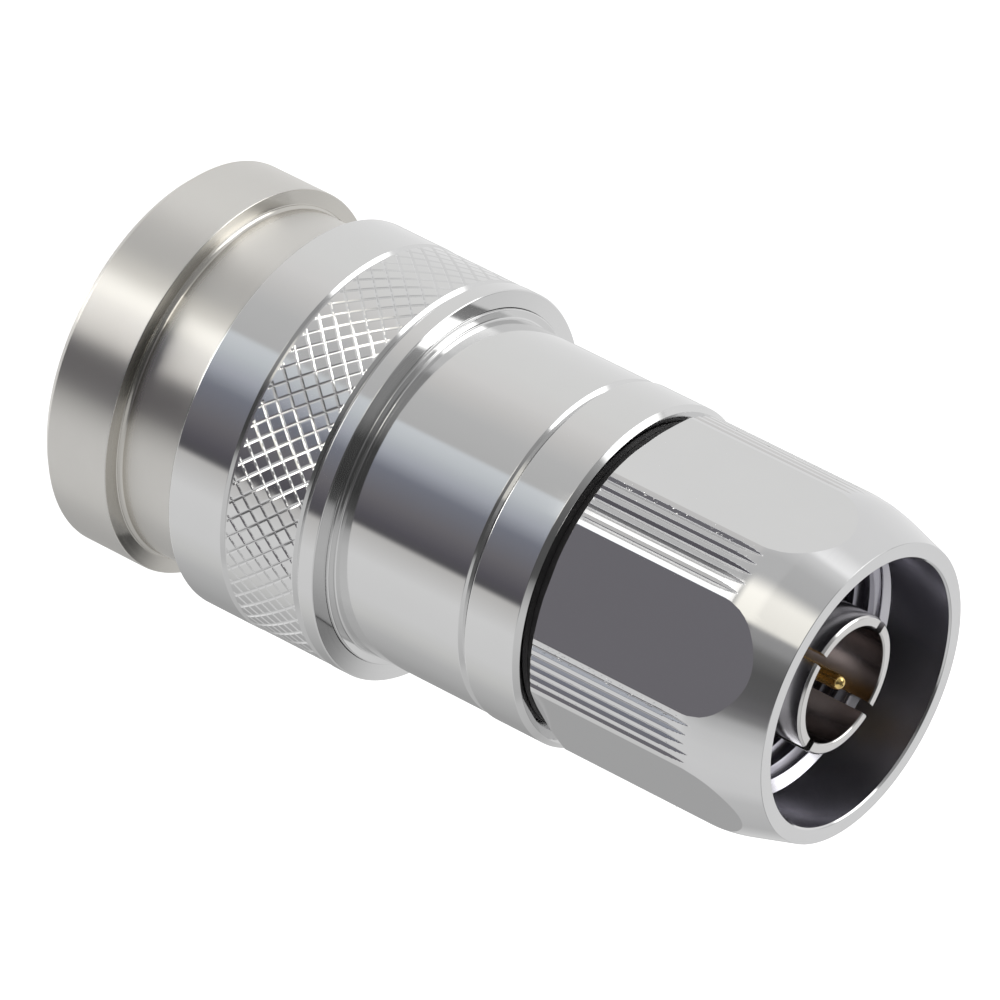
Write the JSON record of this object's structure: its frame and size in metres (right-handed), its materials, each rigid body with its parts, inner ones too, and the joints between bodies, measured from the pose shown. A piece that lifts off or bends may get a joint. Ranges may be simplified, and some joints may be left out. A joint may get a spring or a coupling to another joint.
{
  "type": "n type connector",
  "caption": "Straight coaxial cable plug with a threaded coupling nut, slotted outer contact, thin centre pin, knurled clamp sleeve and screw-on rear cable clamp nut.",
  "frame": {"origin": "centre of the rear clamp nut's rear face, on the connector's axis", "axes": "+Z along the axis towards the mating end, so the connector stands on its rear ring; +Y points away from the side that the picture shows"},
  "size_m": [0.024, 0.024, 0.0494],
  "materials": {
    "bright_nickel": "polished",
    "satin_nickel": "satin",
    "brass": "machined",
    "spring_bronze": "machined",
    "gold_plate": "polished",
    "spring_steel": "drawn",
    "black_rubber": "matte",
    "white_polymer": "matte"
  },
  "bodies": {
    "plug_body": {"sleeve_seal": "black_rubber", "knurled_sleeve": "bright_nickel", "flare_seat": "brass", "main_body": "bright_nickel", "body_seal": "black_rubber", "front_body": "bright_nickel", "rear_insulator": "white_polymer", "contact_spring": "spring_steel", "centre_contact": "gold_plate", "front_insulator": "white_polymer", "outer_contact": "bright_nickel", "interface_gasket": "black_rubber", "snap_ring": "spring_steel", "coupling_seal": "black_rubber"},
    "clamp_pack": {"thrust_washer": "brass", "clamp_collet": "spring_bronze", "collet_spring": "spring_steel"},
    "rear_nut": {"back_nut": "satin_nickel", "cable_gasket": "black_rubber"},
    "coupling": {"coupling_nut": "bright_nickel"}
  },
  "joints": [
    {"name": "coupling_nut_spin", "type": "hinge", "parent": "plug_body", "child": "coupling", "pos_m": [0, 0, 0.0385], "axis": [0, 0, 1], "continuous": true},
    {"name": "clamp_travel", "type": "slide", "parent": "plug_body", "child": "clamp_pack", "axis": [0, 0, -1], "range_m": [0, 0.006]},
    {"name": "rear_nut_turn", "type": "hinge", "parent": "clamp_pack", "child": "rear_nut", "pos_m": [0, 0, 0.009], "axis": [0, 0, -1], "range_deg": [0, 2160]}
  ],
  "couplings": [
    {"joint": "clamp_travel", "follows": "rear_nut_turn", "m_per_rad": 0.00015915}
  ]
}
